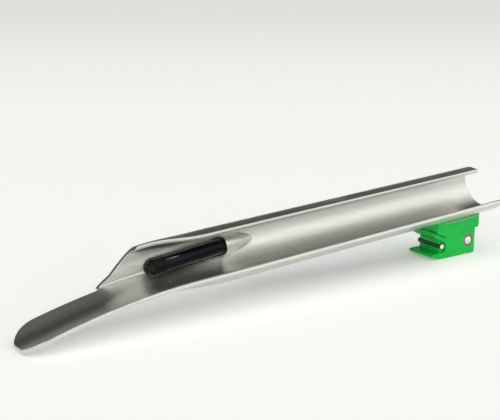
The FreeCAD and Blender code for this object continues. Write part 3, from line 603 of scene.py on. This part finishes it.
def seal_rubber():
    material, tree, shader, link = new_material("seal_rubber")
    place = add_node(tree, "ShaderNodeTexCoord")
    bloom = add_node(tree, "ShaderNodeTexNoise", Scale=3000.0, Detail=3.0)
    link(place.outputs["Object"], bloom.inputs["Vector"])
    link(two_tone(tree, bloom.outputs["Fac"], (0.012, 0.012, 0.012, 1), (0.035, 0.035, 0.034, 1)),
         shader.inputs["Base Color"])
    shader.inputs["Roughness"].default_value = 0.6
    return material


give(seal_rubber(), "inlet_seal")

# ------------------------------------------------------------------------------- table and light
# A plain pale table top that runs out of sight and glows a little, so that shadows stay pale. The room
# is bright on the trough's open side and dark behind it above the horizon. The overhead light isn't
# mirrored in metal, and the strip lights the sheath alone.
TABLE_SIZE = 12.0
TABLE_COLOUR = (0.84, 0.84, 0.845, 1)
TABLE_PALE = (0.88, 0.88, 0.885, 1)
ROOM_LIGHT = 1.45
# height of a direction, and the room's grey level there, behind the blade and on its open side
ROOM_FAR = [(0.0, 0.75), (0.12, 0.60), (0.22, 0.36), (0.33, 0.045), (0.72, 0.02), (0.88, 0.06), (1.0, 0.2)]
ROOM_NEAR = [(0.0, 0.40), (0.12, 0.60), (0.30, 0.88), (0.45, 1.0), (0.66, 1.0), (0.80, 0.50), (1.0, 0.20)]
TABLE_GLOW = 0.22


def table_top():
    mesh = bpy.data.meshes.new("table_top")
    half = TABLE_SIZE / 2
    corners = [(-half, -half), (half, -half), (half, half), (-half, half)]
    mesh.from_pydata([(x, y, cad_low.z) for x, y in corners], [], [(0, 1, 2, 3)])
    table = bpy.data.objects.new("table_top", mesh)
    bpy.context.scene.collection.objects.link(table)
    material, tree, shader, link = new_material("table_paint")
    place = add_node(tree, "ShaderNodeTexCoord")
    mottle = add_node(tree, "ShaderNodeTexNoise", Scale=400.0, Detail=4.0)
    link(place.outputs["Object"], mottle.inputs["Vector"])
    link(two_tone(tree, mottle.outputs["Fac"], TABLE_COLOUR, TABLE_PALE),
         shader.inputs["Base Color"])
    shader.inputs["Roughness"].default_value = 0.75
    shader.inputs["Specular IOR Level"].default_value = 0.2
    shader.inputs["Emission Color"].default_value = (1, 1, 1, 1)
    shader.inputs["Emission Strength"].default_value = TABLE_GLOW
    mesh.materials.append(material)
    table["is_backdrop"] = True


def height_ramp(tree, height, stops):
    """Grey levels by the height of a direction, as a colour ramp."""
    ramp = add_node(tree, "ShaderNodeValToRGB")
    tree.links.new(height, ramp.inputs["Fac"])
    while len(ramp.color_ramp.elements) < len(stops):
        ramp.color_ramp.elements.new(0.5)
    for element, (position, level) in zip(ramp.color_ramp.elements, stops):
        element.position = position
        element.color = (level, level, level * 0.95, 1)
    return ramp.outputs["Color"]


def room():
    """World light: bright on the trough's open side, dark behind it, both by height."""
    world = bpy.data.worlds.new("studio")
    bpy.context.scene.world = world
    world.use_nodes = True
    tree = world.node_tree
    way = add_node(tree, "ShaderNodeTexCoord")
    parts = add_node(tree, "ShaderNodeSeparateXYZ")
    tree.links.new(way.outputs["Generated"], parts.inputs["Vector"])
    far = height_ramp(tree, parts.outputs["Z"], ROOM_FAR)
    near = height_ramp(tree, parts.outputs["Z"], ROOM_NEAR)
    side = add_node(tree, "ShaderNodeMapRange", From_Min=-0.12, From_Max=0.36)
    tree.links.new(parts.outputs["Y"], side.inputs["Value"])
    glow = tree.nodes["Background"]
    tree.links.new(two_tone(tree, side.outputs["Result"], near, far), glow.inputs["Color"])
    glow.inputs["Strength"].default_value = ROOM_LIGHT


def soft_light(name, place, aim, width, length, power, seen=True):
    """An oblong soft light at a place, facing a point; an unseen one isn't mirrored in metal."""
    lamp = bpy.data.lights.new(name, "AREA")
    lamp.shape = "RECTANGLE"
    lamp.size = width
    lamp.size_y = length
    lamp.energy = power
    light = bpy.data.objects.new(name, lamp)
    light.location = place
    light.rotation_mode = "QUATERNION"
    light.rotation_quaternion = (Vector(aim) - Vector(place)).to_track_quat("-Z", "Y")
    light.visible_glossy = seen
    bpy.context.scene.collection.objects.link(light)
    return light


MIDDLE = (cad_low + cad_high) / 2
table_top()
room()
OVERHEAD_AT = Vector((-0.1, -0.2, 1.6))
OVERHEAD_SIDE = 1.8
STRIP_AT = Vector((0.61, -0.20, 1.11))
STRIP_SIDE = 0.25
soft_light("overhead", MIDDLE + OVERHEAD_AT, MIDDLE, OVERHEAD_SIDE, OVERHEAD_SIDE, 9, seen=False)
strip = soft_light("strip", MIDDLE + STRIP_AT, MIDDLE, STRIP_SIDE, STRIP_SIDE, 40)
strip_lit = bpy.data.collections.new("strip_lit")
strip_lit.objects.link(nodes["light_guide_sheath"])
strip.light_linking.receiver_collection = strip_lit

# ------------------------------------------------------------------------------- camera
# Low over the table on the beak's side, looking along the open side of the trough.
CAMERA_PLACE = (-0.249698, -0.249237, 0.099431)
CAMERA_YAW = 0.5922
CAMERA_DIP = 0.2412
CAMERA_ROLL = 0.0033
CAMERA_LENS = 67.07

lens = bpy.data.cameras.new("camera")
lens.lens = CAMERA_LENS
lens.sensor_width = 36
lens.clip_start = 0.01
camera = bpy.data.objects.new("camera", lens)
camera.matrix_world = (Matrix.Translation(CAMERA_PLACE) @ Matrix.Rotation(-CAMERA_YAW, 4, "Z")
                       @ Matrix.Rotation(math.pi / 2 - CAMERA_DIP, 4, "X")
                       @ Matrix.Rotation(CAMERA_ROLL, 4, "Z"))
bpy.context.scene.collection.objects.link(camera)
bpy.context.scene.camera = camera
bpy.context.scene.view_settings.view_transform = "Standard"

low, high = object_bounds()
